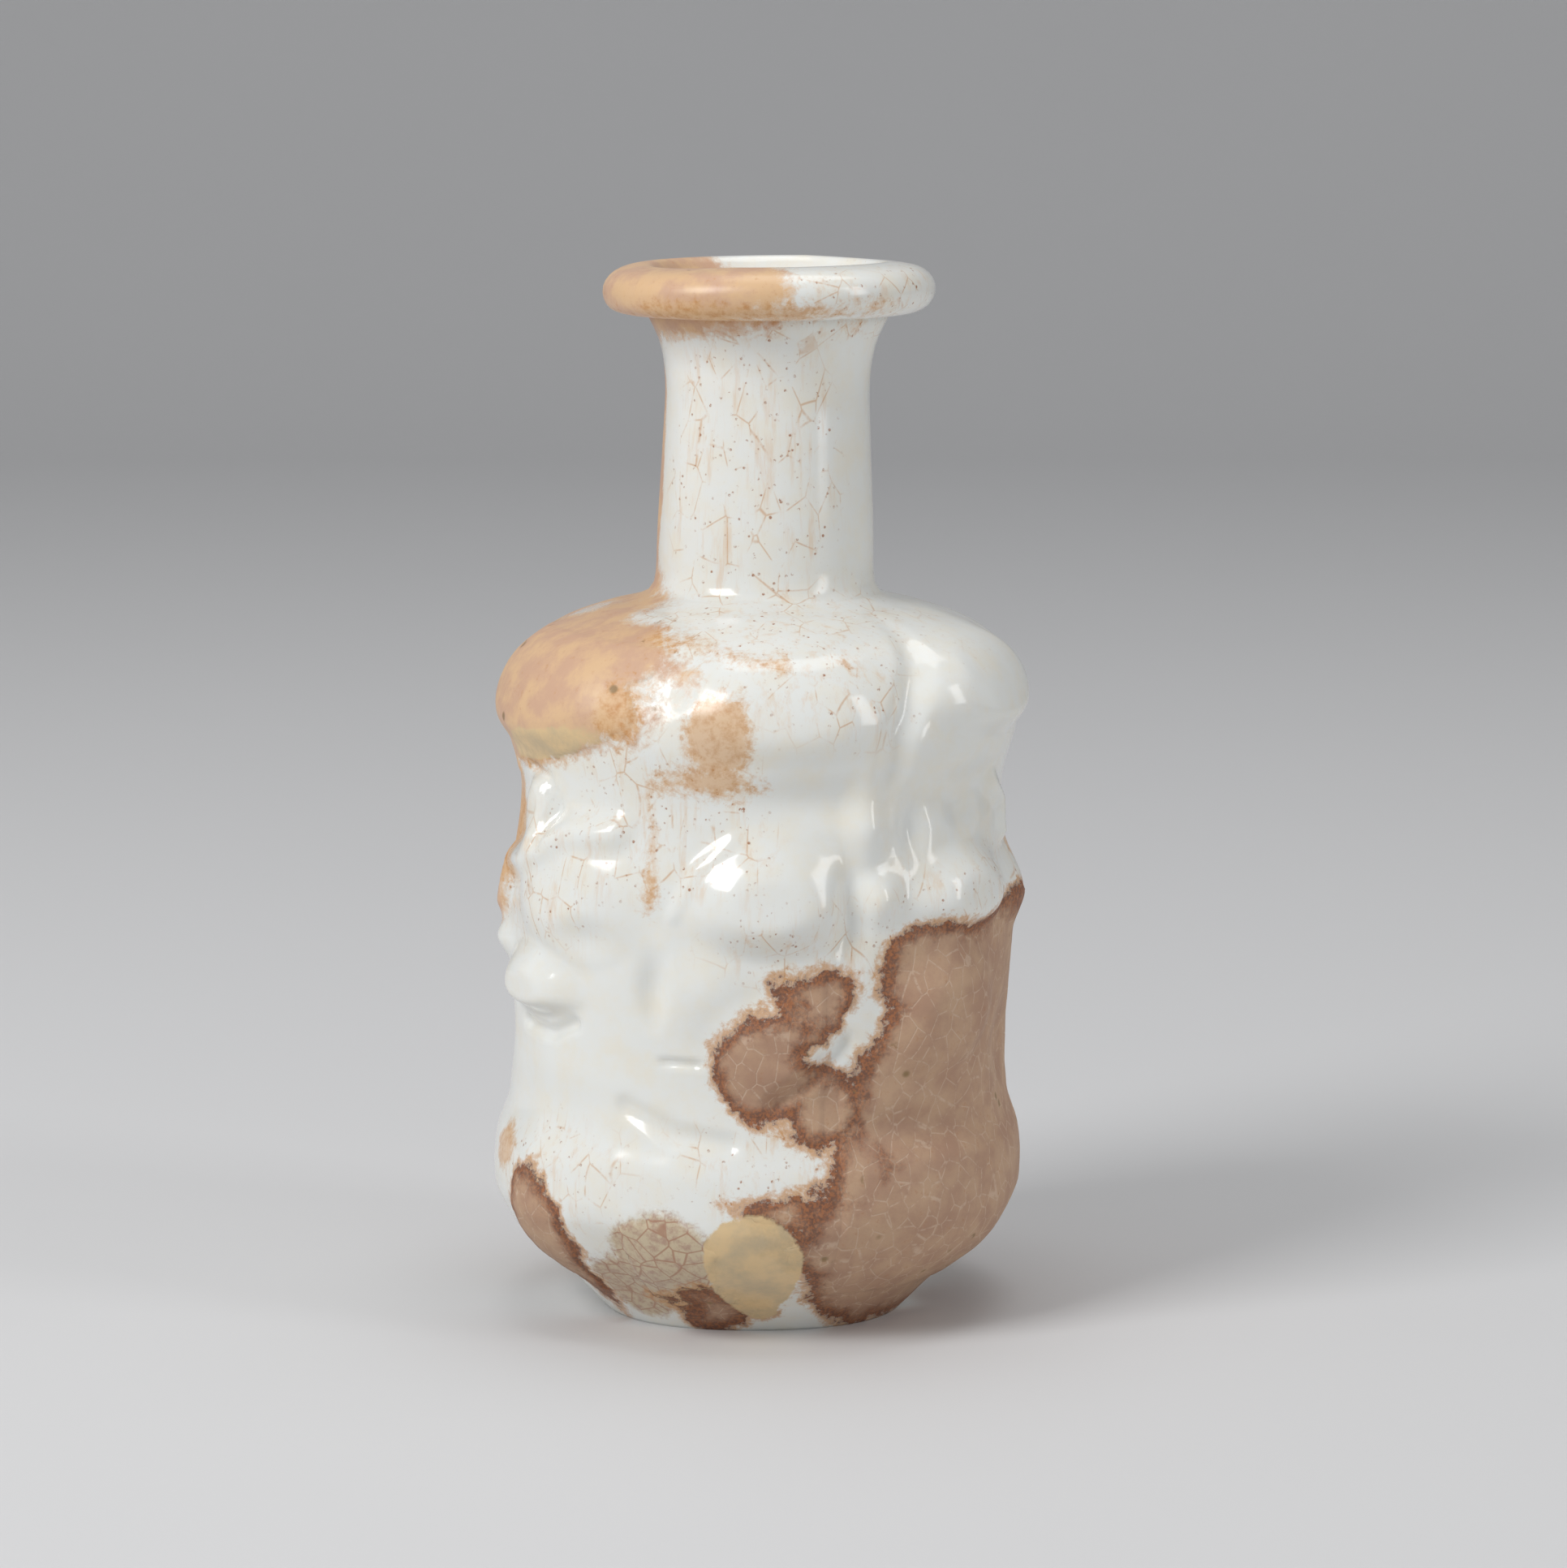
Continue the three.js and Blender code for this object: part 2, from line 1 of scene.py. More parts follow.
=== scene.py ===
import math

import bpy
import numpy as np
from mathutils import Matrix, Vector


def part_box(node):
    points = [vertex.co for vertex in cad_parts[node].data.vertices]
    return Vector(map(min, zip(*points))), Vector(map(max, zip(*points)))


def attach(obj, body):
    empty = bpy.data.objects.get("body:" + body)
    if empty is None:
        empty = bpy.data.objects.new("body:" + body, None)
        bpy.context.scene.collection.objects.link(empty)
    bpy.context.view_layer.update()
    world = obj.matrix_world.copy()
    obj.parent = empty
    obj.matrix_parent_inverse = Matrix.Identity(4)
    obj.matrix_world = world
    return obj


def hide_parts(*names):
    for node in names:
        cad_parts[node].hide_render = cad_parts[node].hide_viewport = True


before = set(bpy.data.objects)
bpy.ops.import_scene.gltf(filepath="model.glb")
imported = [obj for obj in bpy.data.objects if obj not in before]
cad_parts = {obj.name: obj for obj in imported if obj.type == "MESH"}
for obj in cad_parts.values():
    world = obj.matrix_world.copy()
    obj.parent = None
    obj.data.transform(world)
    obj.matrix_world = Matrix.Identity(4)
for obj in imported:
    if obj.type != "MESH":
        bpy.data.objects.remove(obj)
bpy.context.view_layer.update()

# Antique bottle of opaque white glass, blown into a relief mould, with its stains and weathering crust.
# Shapes are worked out in millimetres and made in metres. The front faces -Y. Azimuths are in degrees
# from the front, positive towards +X. Levels run from -1 at the foot and 0 at the collar to 1 at the neck.

MM = 0.001

# Heights and radii of the bottle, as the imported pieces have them
BASE_HEIGHT = 13.0
BODY_HEIGHT = 53.0
NECK_LENGTH = 24.9
RIM_HEIGHT = 5.1
FOOT_RADIUS = 15.2
COLLAR_RADIUS = 24.7
WAIST_RADIUS = 23.1
BELLY_RADIUS = 23.6
BROW_RADIUS = 22.4
SHOULDER_RADIUS = 23.5
NECK_ROOT_RADIUS = 10.7
NECK_RADIUS = 9.3
NECK_TOP_RADIUS = 10.9
RIM_RADIUS = 15.1
MOUTH_RADIUS = 11.0
BORE_RADIUS = 7.5
RIM_WAVE = 0.22
BODY_WALL = 2.1
FLOOR_THICKNESS = 3.2
FOOT_ROUND = 0.9
HOLLOW_RADIUS = 9.0
HOLLOW_DEPTH = 0.6
LEAN = 1.5
RELIEF_DEPTH = 2.2
INNER_RELIEF = 0.4
SQUARING = 0.35
NECK_ROOT_Z = BASE_HEIGHT + BODY_HEIGHT
NECK_TOP_Z = NECK_ROOT_Z + NECK_LENGTH
TOTAL_HEIGHT = NECK_TOP_Z + RIM_HEIGHT

# Fineness of the glass mesh, and the height of the waviness that blowing leaves on it
AROUND = 300
AROUND_INSIDE = 100
BASE_ROWS = 46
BODY_ROWS = 190
NECK_ROWS = 26
RIM_ROWS = 34
INSIDE_ROWS = 30
WAVINESS = 0.16

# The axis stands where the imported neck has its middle
neck_low, neck_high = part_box("neck_tube")
AXIS_X = (neck_low[0] + neck_high[0]) / 2 / MM - LEAN * ((NECK_ROOT_Z + NECK_LENGTH / 2) / TOTAL_HEIGHT - 0.5)
AXIS_Y = (neck_low[1] + neck_high[1]) / 2 / MM

# Bosses of the relief: azimuth, level, half-width in degrees, half-height, rise, flat share of the top,
# how tight the lower side is, and degrees turned
BOSSES = [
    (-64, 0.845, 44, 0.17, 0.62, 0.45, 0.62, 0),
    (6, 0.85, 30, 0.15, 0.42, 0.4, 0.75, 0),
    (66, 0.86, 33, 0.17, 0.78, 0.5, 0.55, 0),
    (-24, 0.9, 14, 0.12, -0.18, 0, 1, 0),
    (14, 0.69, 34, 0.06, -0.3, 0, 1, 0),
    (54, 0.69, 24, 0.065, -0.42, 0, 1, 0),
    (24.5, 0.655, 7, 0.1, 0.5, 0, 1, 0),
    (36.5, 0.635, 5.5, 0.08, -0.42, 0, 1, 0),
    (53, 0.645, 9, 0.05, -0.22, 0, 1, 0),
    (52, 0.515, 19, 0.1, 0.85, 0.35, 0.7, 0),
    (80, 0.5, 16, 0.09, 0.6, 0, 1, 0),
    (27, 0.525, 7.5, 0.06, 0.5, 0, 1, 0),
    (2, 0.52, 23, 0.14, 0.95, 0.3, 0.72, 0),
    (20, 0.5, 6, 0.13, -0.5, 0, 1, 0),
    (-47, 0.53, 27, 0.15, 0.72, 0.3, 1, 0),
    (-40, 0.455, 10, 0.05, -0.28, 0, 1, 0),
    (-59, 0.655, 9, 0.085, 0.62, 0.3, 1, -14),
    (-79, 0.41, 10, 0.05, 0.5, 0, 1, 0),
    (-58, 0.345, 19, 0.09, 0.85, 0.35, 0.5, 0),
    (-23.5, 0.375, 5.5, 0.09, -0.32, 0, 1, 0),
    (-11, 0.375, 13, 0.1, 0.34, 0, 1, 0),
    (5, 0.275, 19, 0.11, 0.52, 0.3, 1, 0),
    (46, 0.305, 20, 0.15, 0.68, 0.4, 0.7, 18),
    (76, 0.23, 14, 0.12, -0.4, 0, 1, 0),
    (40, 0.13, 26, 0.06, -0.42, 0, 1, 0),
    (-50, 0.14, 30, 0.09, -0.22, 0, 1, 0),
    (-90, 0.27, 16, 0.12, -0.3, 0, 1, 0),
    (118, 0.85, 30, 0.16, 0.6, 0.45, 0.6, 0),
    (178, 0.85, 31, 0.15, 0.5, 0.4, 0.7, 0),
    (-122, 0.855, 28, 0.16, 0.6, 0.45, 0.6, 0),
    (150, 0.69, 34, 0.06, -0.36, 0, 1, 0),
    (-150, 0.69, 32, 0.06, -0.36, 0, 1, 0),
    (178, 0.64, 8, 0.11, 0.5, 0, 1, 0),
    (128, 0.65, 9, 0.075, 0.5, 0.3, 1, 12),
    (-132, 0.65, 9, 0.075, 0.5, 0.3, 1, -12),
    (180, 0.51, 20, 0.13, 0.95, 0.3, 0.72, 0),
    (132, 0.52, 24, 0.14, 0.72, 0.3, 1, 0),
    (-131, 0.52, 24, 0.14, 0.72, 0.3, 1, 0),
    (156, 0.44, 7, 0.1, -0.35, 0, 1, 0),
    (-155, 0.44, 7, 0.1, -0.35, 0, 1, 0),
    (178, 0.33, 26, 0.07, 0.5, 0.3, 0.6, 0),
    (120, 0.33, 17, 0.09, 0.6, 0.35, 0.55, 0),
    (-118, 0.33, 17, 0.09, 0.6, 0.35, 0.55, 0),
    (178, 0.2, 20, 0.08, 0.3, 0, 1, 0),
    (-56, -0.25, 14, 0.6, 0.24, 0, 1, 0),
    (-35, -0.4, 13, 0.5, -0.34, 0, 1, 0),
    (-12, -0.45, 18, 0.5, 0.2, 0, 1, 0),
    (30, -0.3, 14, 0.45, -0.16, 0, 1, 0),
    (64, -0.35, 18, 0.5, 0.2, 0, 1, 0),
    (110, -0.4, 16, 0.5, -0.24, 0, 1, 0),
    (150, -0.4, 18, 0.5, 0.22, 0, 1, 0),
    (-150, -0.4, 18, 0.5, -0.24, 0, 1, 0),
    (-105, -0.4, 18, 0.5, 0.2, 0, 1, 0),
]

# Folds and creases: their route in azimuths and levels, half-width and rise. The last four are fine
# ones that need this mesh's small facets.
FOLDS = [
    ([(43, 0.97), (39, 0.9), (31, 0.8), (30, 0.74)], 0.045, -0.36),
    ([(-34, 0.635), (-46, 0.63), (-60, 0.575), (-76, 0.55), (-82, 0.47)], 0.045, 0.5),
    ([(-30, 0.17), (-18, 0.13), (-6, 0.115)], 0.03, -0.2),
    ([(19, 0.285), (12, 0.235), (4, 0.185)], 0.03, -0.4),
    ([(68, 0.69), (76, 0.65), (74, 0.6)], 0.03, 0.35),
    ([(148, 0.96), (146, 0.88), (150, 0.78)], 0.045, -0.36),
    ([(-148, 0.96), (-146, 0.88), (-150, 0.78)], 0.045, -0.36),
    ([(112, 0.6), (130, 0.58), (148, 0.63)], 0.045, 0.4),
    ([(-112, 0.6), (-130, 0.58), (-148, 0.63)], 0.045, 0.4),
    ([(-65, 0.72), (-56, 0.71), (-52, 0.66), (-54, 0.6)], 0.018, -0.3),
    ([(-21, 0.252), (-13, 0.249)], 0.012, -0.2),
    ([(-64, 0.28), (-52, 0.275), (-44, 0.3)], 0.02, -0.3),
    ([(-19, 0.5), (-14, 0.58), (-6, 0.63)], 0.02, 0.12),
]


def smoothstep(x, low, high):
    t = np.clip((x - low) / (high - low), 0, 1)
    return t * t * (3 - 2 * t)


def lerp(a, b, share):
    return a + (b - a) * share


def turned(azimuth):
    return (azimuth + 180) % 360 - 180


def axis_at(z):
    return AXIS_X + LEAN * (z / TOTAL_HEIGHT - 0.5)


def level_of(z):
    return np.where(z < BASE_HEIGHT, z / BASE_HEIGHT - 1, (z - BASE_HEIGHT) / BODY_HEIGHT)


DEGREE = math.radians(1) * COLLAR_RADIUS / BODY_HEIGHT


def route_distance(across, up, route):
    """Distance to a route of straight stretches, with both directions in the same unit."""
    nearest = np.full(np.broadcast(across, up).shape, np.inf)
    for (x0, y0), (x1, y1) in zip(route, route[1:]):
        run_x, run_y = x1 - x0, y1 - y0
        share = np.clip(((across - x0) * run_x + (up - y0) * run_y) / (run_x ** 2 + run_y ** 2), 0, 1)
        nearest = np.minimum(nearest, np.hypot(across - x0 - share * run_x, up - y0 - share * run_y))
    return nearest


def relief(azimuth, level):
    """How far the mould pushes the wall out."""
    total = np.zeros(np.broadcast(azimuth, level).shape)
    for at, height, width, half, rise, flat, under, turn in BOSSES:
        c, s = math.cos(math.radians(turn)), math.sin(math.radians(turn))
        across, up = turned(azimuth - at) * DEGREE, level - height
        x = (across * c + up * s) / (width * DEGREE)
        y = (up * c - across * s) / half
        distance = np.hypot(x, np.where(y < 0, y / under, y))
        total += rise * (1 - smoothstep(distance, flat * 0.9, 1))
    for route, half, rise in FOLDS:
        middle = route[0][0]
        scaled = [((a - middle) * DEGREE, v) for a, v in route]
        distance = route_distance(turned(azimuth - middle) * DEGREE, level, scaled)
        total += rise * (1 - smoothstep(distance, 0, half))
    squared = -SQUARING * np.cos(np.radians(4 * azimuth)) * (1 - smoothstep(level, 0.6, 0.95))
    return (total * RELIEF_DEPTH + squared) * (1 - smoothstep(level, 0.86, 0.995))


LATTICE = np.random.RandomState(7).rand(32, 32, 32)


def cloud(points, size, octaves=4):
    """Soft noise from 0 to 1 whose largest grains are about size millimetres."""
    total, weight, amount = 0, 0, 1.0
    for octave in range(octaves):
        place = points / (size / 2 ** octave) + 11.3 * octave + 100
        cell = np.floor(place).astype(int)
        f = place - cell
        f = f * f * (3 - 2 * f)
        value = 0
        for corner in range(8):
            step = np.array([corner & 1, corner >> 1 & 1, corner >> 2 & 1])
            i, j, k = np.moveaxis((cell + step) % 32, -1, 0)
            value = value + LATTICE[i, j, k] * np.prod(np.where(step, f, 1 - f), axis=-1)
        total, weight, amount = total + value * amount, weight + amount, amount * 0.5
    return total / weight


def outline(points, rows):
    """Even steps along a smooth outline: radius, height and the direction that it runs in."""
    p = np.asarray(points, float)
    last = len(p) - 1
    t = np.linspace(0, last, 1201)
    i = np.minimum(t.astype(int), last - 1)
    w = (t - i)[:, None]
    a, b, c, d = p[np.maximum(i - 1, 0)], p[i], p[i + 1], p[np.minimum(i + 2, last)]
    v0, v1 = (c - a) / 2, (d - b) / 2
    curve = (2 * b - 2 * c + v0 + v1) * w ** 3 + (-3 * b + 3 * c - 2 * v0 - v1) * w ** 2 + v0 * w + b
    run = np.concatenate([[0], np.cumsum(np.hypot(*np.diff(curve, axis=0).T))])
    at = np.linspace(0, run[-1], rows + 1)
    r, z = np.interp(at, run, curve[:, 0]), np.interp(at, run, curve[:, 1])
    dr, dz = np.gradient(r), np.gradient(z)
    length = np.hypot(dr, dz)
    return np.stack([r, z, dr / length, dz / length], axis=1)


def base_outline(rows):
    return outline([
        (FOOT_RADIUS - FOOT_ROUND, 0),
        (FOOT_RADIUS, FOOT_ROUND),
        (lerp(FOOT_RADIUS, COLLAR_RADIUS, 0.3), BASE_HEIGHT * 0.29),
        (lerp(FOOT_RADIUS, COLLAR_RADIUS, 0.72), BASE_HEIGHT * 0.55),
        (lerp(FOOT_RADIUS, COLLAR_RADIUS, 0.96), BASE_HEIGHT * 0.83),
        (COLLAR_RADIUS, BASE_HEIGHT),
    ], rows)


def body_outline(rows):
    shoulder = [(0.87, 0.885), (0.67, 0.94), (0.36, 0.973), (0.12, 0.988), (0, 1)]
    stations = [
        (COLLAR_RADIUS, 0), (COLLAR_RADIUS - 0.25, 0.06), (lerp(WAIST_RADIUS, COLLAR_RADIUS, 0.15), 0.13),
        (WAIST_RADIUS, 0.24), (BELLY_RADIUS, 0.46), (BROW_RADIUS, 0.66), (SHOULDER_RADIUS, 0.79),
    ] + [(lerp(NECK_ROOT_RADIUS, SHOULDER_RADIUS, share), level) for share, level in shoulder]
    return outline([(r, BASE_HEIGHT + BODY_HEIGHT * level) for r, level in stations], rows)


def neck_outline(rows):
    stations = [
        (NECK_ROOT_RADIUS, 0), (lerp(NECK_RADIUS, NECK_ROOT_RADIUS, 0.5), 0.05),
        (lerp(NECK_RADIUS, NECK_ROOT_RADIUS, 0.38), 0.25), (lerp(NECK_RADIUS, NECK_ROOT_RADIUS, 0.12), 0.55),
        (NECK_RADIUS, 0.76), (lerp(NECK_RADIUS, NECK_TOP_RADIUS, 0.3), 0.9), (NECK_TOP_RADIUS, 1),
    ]
    return outline([(r, NECK_ROOT_Z + NECK_LENGTH * share) for r, share in stations], rows)


def rim_outline(rows):
    reach = (RIM_RADIUS - MOUTH_RADIUS) * 0.66
    stations = [(NECK_TOP_RADIUS, NECK_TOP_Z)]
    for turn in np.linspace(-125, 75, 8):
        squash = 0.92 if turn < 0 else 0.86
        angle = math.radians(turn)
        stations.append((RIM_RADIUS - reach + reach * math.cos(angle),
                         NECK_TOP_Z + RIM_HEIGHT * (0.53 + 0.5 * math.sin(angle) * squash)))
    stations += [
        (MOUTH_RADIUS, NECK_TOP_Z + RIM_HEIGHT), (MOUTH_RADIUS - 0.7, NECK_TOP_Z + RIM_HEIGHT * 0.9),
        (lerp(BORE_RADIUS, MOUTH_RADIUS, 0.35), NECK_TOP_Z + RIM_HEIGHT * 0.45), (BORE_RADIUS, NECK_TOP_Z),
    ]
    curve = outline(stations, rows)
    curve[:, 1] = np.minimum(curve[:, 1], TOTAL_HEIGHT)
    return curve


def wall(rows, azimuth, inset=0.0, share=1.0, waviness=0.0):
    """Points of a wall: one row for each station of an outline, one column for each azimuth."""
    r0, z0, along_r, along_z = (column[:, None] for column in rows.T)
    level = level_of(z0)
    slope = smoothstep(level, 0.78, 0.9)
    out_r, out_z = lerp(1.0, along_z, slope), lerp(0.0, -along_r, slope)
    length = np.hypot(out_r, out_z)
    push = relief(azimuth[None, :], level) * share
    angle = np.radians(azimuth)[None, :]
    if waviness:
        rough = np.stack([r0 * np.sin(angle), r0 * np.cos(angle), z0 + 0 * angle], axis=-1)
        still = smoothstep(z0, 0.0, 1.5) * (1 - smoothstep(z0, NECK_TOP_Z - 2, NECK_TOP_Z))
        push = push - waviness * still * cloud(rough, 6.0, 3)
    r = r0 - inset * along_z + push * out_r / length
    z = z0 + inset * along_r + push * out_z / length
    return np.stack([r * np.sin(angle) + axis_at(z), AXIS_Y - r * np.cos(angle), z], axis=-1)


def turned_rows(rows, azimuth, wave=0.0):
    """Points of a plain turned wall, with the slight wave that the tool leaves on the rim."""
    angle = np.radians(azimuth)[None, :]
    r, z = rows[:, 0][:, None], rows[:, 1][:, None] + 0 * angle
    x, y = r * np.sin(angle) + axis_at(z), AXIS_Y - r * np.cos(angle)
    free = smoothstep(z, NECK_TOP_Z, NECK_TOP_Z + RIM_HEIGHT * 0.3)
    swing = wave * free * np.sin(2 * angle + 0.6)
    return np.stack([x, y, z + np.minimum(0, swing) - wave * free * 0.5 * (1 - np.sin(angle))], axis=-1)


def ring_rows(stations):
    return np.array([(r, z, 0, 1) for r, z in stations], float)


def join_rings(rings):
    """One skin over rings of any number of points, from the first to the last."""
    faces, starts = [], np.cumsum([0] + [len(ring) for ring in rings])
    for k in range(len(rings) - 1):
        low, high = len(rings[k]), len(rings[k + 1])
        i = j = 0
        while i < low or j < high:
            low_end = math.inf if low == 1 else (i + 1) / low
            high_end = math.inf if high == 1 else (j + 1) / high
            if min(low_end, high_end) > 1 + 1e-9:
                break
            a, b = starts[k] + i % low, starts[k + 1] + j % high
            if abs(low_end - high_end) < 1e-9:
                faces.append((a, starts[k] + (i + 1) % low, starts[k + 1] + (j + 1) % high, b))
                i, j = i + 1, j + 1
            elif low_end < high_end:
                faces.append((a, starts[k] + (i + 1) % low, b))
                i += 1
            else:
                faces.append((a, starts[k + 1] + (j + 1) % high, b))
                j += 1
    return np.concatenate(rings), faces


def patch(azimuth, height, at, up, half_width, half_height, turn=0):
    """How far inside an oval patch a point lies, in millimetres. It is negative outside."""
    c, s = math.cos(math.radians(turn)), math.sin(math.radians(turn))
    across, rise = turned(azimuth - at) * math.radians(24.0), height - up
    x, y = (across * c + rise * s) / half_width, (rise * c - across * s) / half_height
    return (1 - np.hypot(x, y)) * min(half_width, half_height)


def band(azimuth, height, route, half):
    scaled = [(a * math.radians(24.0), z) for a, z in route]
    return half - route_distance(turned(azimuth) * math.radians(24.0), height, scaled)


# Patches of each stain: azimuth, height, half-width and half-height in millimetres, degrees turned
TAN = [
    (-66, 58.5, 18, 7.4, 4), (-40, 61.6, 8, 3.0, -8), (-112, 58, 14, 8, 0), (-90, 75, 6.5, 12, 0),
    (-95, 67, 12, 3.5, 0), (-80, 93.6, 37, 5, 0), (-84, 44, 5, 8, 0), (-150, 30, 12, 9, 20),
]
ORANGE = [
    (-33, 57.3, 2.4, 3.8, 20), (-9, 55.4, 3.4, 4.4, 0), (-12, 51.4, 5.0, 1.8, 0), (20, 61.8, 0.8, 0.7, 0),
    (-60, 51.8, 9, 1.2, 8), (-78, 43.6, 4.5, 4.5, 0), (-4, 92.0, 20, 1.2, 0), (44, 90.6, 5, 0.9, 0),
    (-70, 16.0, 3, 2.5, 0), (84, 45, 3, 3.5, 0),
]
BROWN = [
    (62, 24, 17, 14.2, 0), (92, 20, 18, 18.5, 0), (42, 33.4, 7.5, 5.0, 0), (14.5, 32.6, 4.4, 2.8, 0),
    (3, 26.0, 5.2, 4.6, -18), (15, 22.5, 3.2, 3.4, 0), (45, 9.5, 15.5, 9.5, 0), (-53, 9.0, 4.4, 7.2, 14),
    (24, 15.5, 3.6, 5.5, 0), (74, 36.0, 9, 3.0, 0), (118, 26, 14, 12, 0), (-10, 2.4, 6.0, 2.2, 0),
    (6, 13.0, 3.0, 1.3, -8), (170, 8, 18, 8, 0),
]
BEIGE = [(-21, 7.4, 5.6, 5.6, 0), (-36, 4.6, 5.0, 3.6, 0), (-140, 8, 18, 7, 0)]
CREAM = [(0.5, 7.2, 4.6, 6.0, 6), (-58, 53.6, 8.5, 1.6, 10)]
SPECKLED = [
    (6, 17.2, 9, 4.6, 0), (-48, 15, 8, 4, 0), (18, 37, 9, 4, 0), (-20, 48, 9, 7, 0), (10, 92.4, 46, 3.4, 0),
    (-10, 78, 22, 14, 0), (0, 64.5, 20, 3, 0), (-66, 42, 12, 6, 0), (60, 40, 12, 3, 0), (15, 60, 9, 4, 0),
]


def stain(azimuth, height, patches, points, ragged):
    """How deep inside a stain a point lies, with a ragged edge, kept within four millimetres."""
    depth = np.full(np.shape(azimuth), -6.0)
    for at, up, half_width, half_height, turn in patches:
        depth = np.maximum(depth, patch(azimuth, height, at, up, half_width, half_height, turn))
    return np.clip(depth + ragged * (cloud(points, 5.0, 4) - 0.5), -4, 4)


def stains(points):
    """The stain depths at points of the surface, by name."""
    x = points[..., 0] - axis_at(points[..., 2])
    y = points[..., 1] - AXIS_Y
    azimuth, height = np.degrees(np.arctan2(x, -y)), points[..., 2]
    brown = stain(azimuth, height, BROWN, points, 4.6)
    island = patch(azimuth, height, 13.5, 27.2, 1.4, 1.0)
    orange = stain(azimuth, height, ORANGE, points + 40, 2.6)
    streaks = [[(-36, 63.6), (-16, 62.8), (4, 61.6)], [(-26, 52), (-25, 44), (-24, 40)]]
    for route in streaks:
        orange = np.maximum(orange, band(azimuth, height, route, 0.7) + 2.0 * (cloud(points, 3.0) - 0.5))
    return {
        "tan": stain(azimuth, height, TAN, points + 20, 3.4),
        "orange": orange,
        "brown": np.minimum(brown, -island * 1.5),
        "beige": stain(azimuth, height, BEIGE, points + 60, 3.0),
        "cream": stain(azimuth, height, CREAM, points + 80, 1.8),
        "speckled": stain(azimuth, height, SPECKLED, points + 95, 5.0),
    }


def piece(name, points, faces, material, values=None):
    """A mesh piece in metres with smooth shading and its named values at each point."""
    mesh = bpy.data.meshes.new(name)
    mesh.from_pydata((points * MM).tolist(), [], [tuple(int(i) for i in face) for face in faces])
    mesh.polygons.foreach_set("use_smooth", [True] * len(mesh.polygons))
    for key, value in (values or {}).items():
        layer = mesh.attributes.new(key, "FLOAT", "POINT")
        layer.data.foreach_set("value", np.ascontiguousarray(value, dtype=np.float32).ravel())
    mesh.update()
    thing = bpy.data.objects.new(name, mesh)
    bpy.context.scene.collection.objects.link(thing)
    mesh.materials.append(material)
    return thing


class Wire:
    """A shader value that is worked with like a number."""

    def __init__(self, finish, socket):
        self.finish = finish
        self.socket = socket

    def math(self, operation, *others):
        return self.finish.math(operation, self, *others)

    def __add__(self, other):
        return self.math("ADD", other)

    def __radd__(self, other):
        return self.finish.math("ADD", other, self)

    def __sub__(self, other):
        return self.math("SUBTRACT", other)

    def __rsub__(self, other):
        return self.finish.math("SUBTRACT", other, self)

    def __mul__(self, other):
        return self.math("MULTIPLY", other)

    def __rmul__(self, other):
        return self.finish.math("MULTIPLY", other, self)

    def between(self, low, high):
        """0 below low, 1 above high, smooth in between."""
        node = self.finish.make("ShaderNodeMapRange", {"interpolation_type": "SMOOTHSTEP"},
                                {"Value": self, "From Min": low, "From Max": high})
        return Wire(self.finish, node.outputs["Result"])


